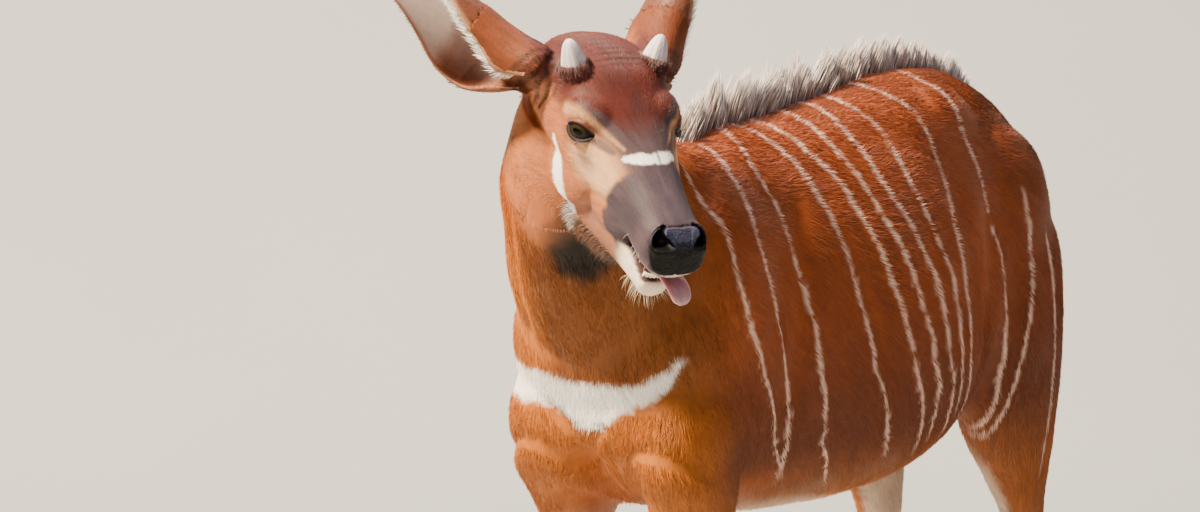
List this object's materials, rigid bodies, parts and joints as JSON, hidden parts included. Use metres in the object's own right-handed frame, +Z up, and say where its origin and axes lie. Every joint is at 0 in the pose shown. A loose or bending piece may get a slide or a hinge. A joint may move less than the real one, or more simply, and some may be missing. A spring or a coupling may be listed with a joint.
{
  "type": "bongo antelope calf",
  "caption": "Standing young bongo antelope with its head turned and lowered, short horn buds, wide ears and a standing crest along its back.",
  "frame": {"origin": "on the floor under the middle of the standing calf's bounding box", "axes": "+X to the calf's left, -Y ahead of its trunk, +Z up"},
  "size_m": [0.4242, 1.1628, 1.1318],
  "materials": {
    "body_coat": "short chestnut coat with thin white stripes",
    "leg_coat": "short brown coat, black and white in places",
    "tail_hair": "coarse hair",
    "ear_skin": "thin furred skin, white inside the rim",
    "eye": "wet, dark brown",
    "horn": "pale young horn",
    "tongue": "wet, mauve pink",
    "hoof": "dark hoof horn"
  },
  "bodies": {
    "root": {"torso": "body_coat", "neck": "body_coat", "head": "body_coat", "tail": "tail_hair", "ear_left": "ear_skin", "eye_left": "eye", "horn_left": "horn", "ear_right": "ear_skin", "eye_right": "eye", "horn_right": "horn", "tongue": "tongue", "foreleg_left_upper": "leg_coat", "foreleg_left_lower": "leg_coat", "hoof_foreleg_left_outer": "hoof", "hoof_foreleg_left_inner": "hoof", "foreleg_right_upper": "leg_coat", "foreleg_right_lower": "leg_coat", "hoof_foreleg_right_outer": "hoof", "hoof_foreleg_right_inner": "hoof", "hindleg_left_upper": "leg_coat", "hindleg_left_lower": "leg_coat", "hoof_hindleg_left_outer": "hoof", "hoof_hindleg_left_inner": "hoof", "hindleg_right_upper": "leg_coat", "hindleg_right_lower": "leg_coat", "hoof_hindleg_right_outer": "hoof", "hoof_hindleg_right_inner": "hoof"}
  },
  "joints": []
}
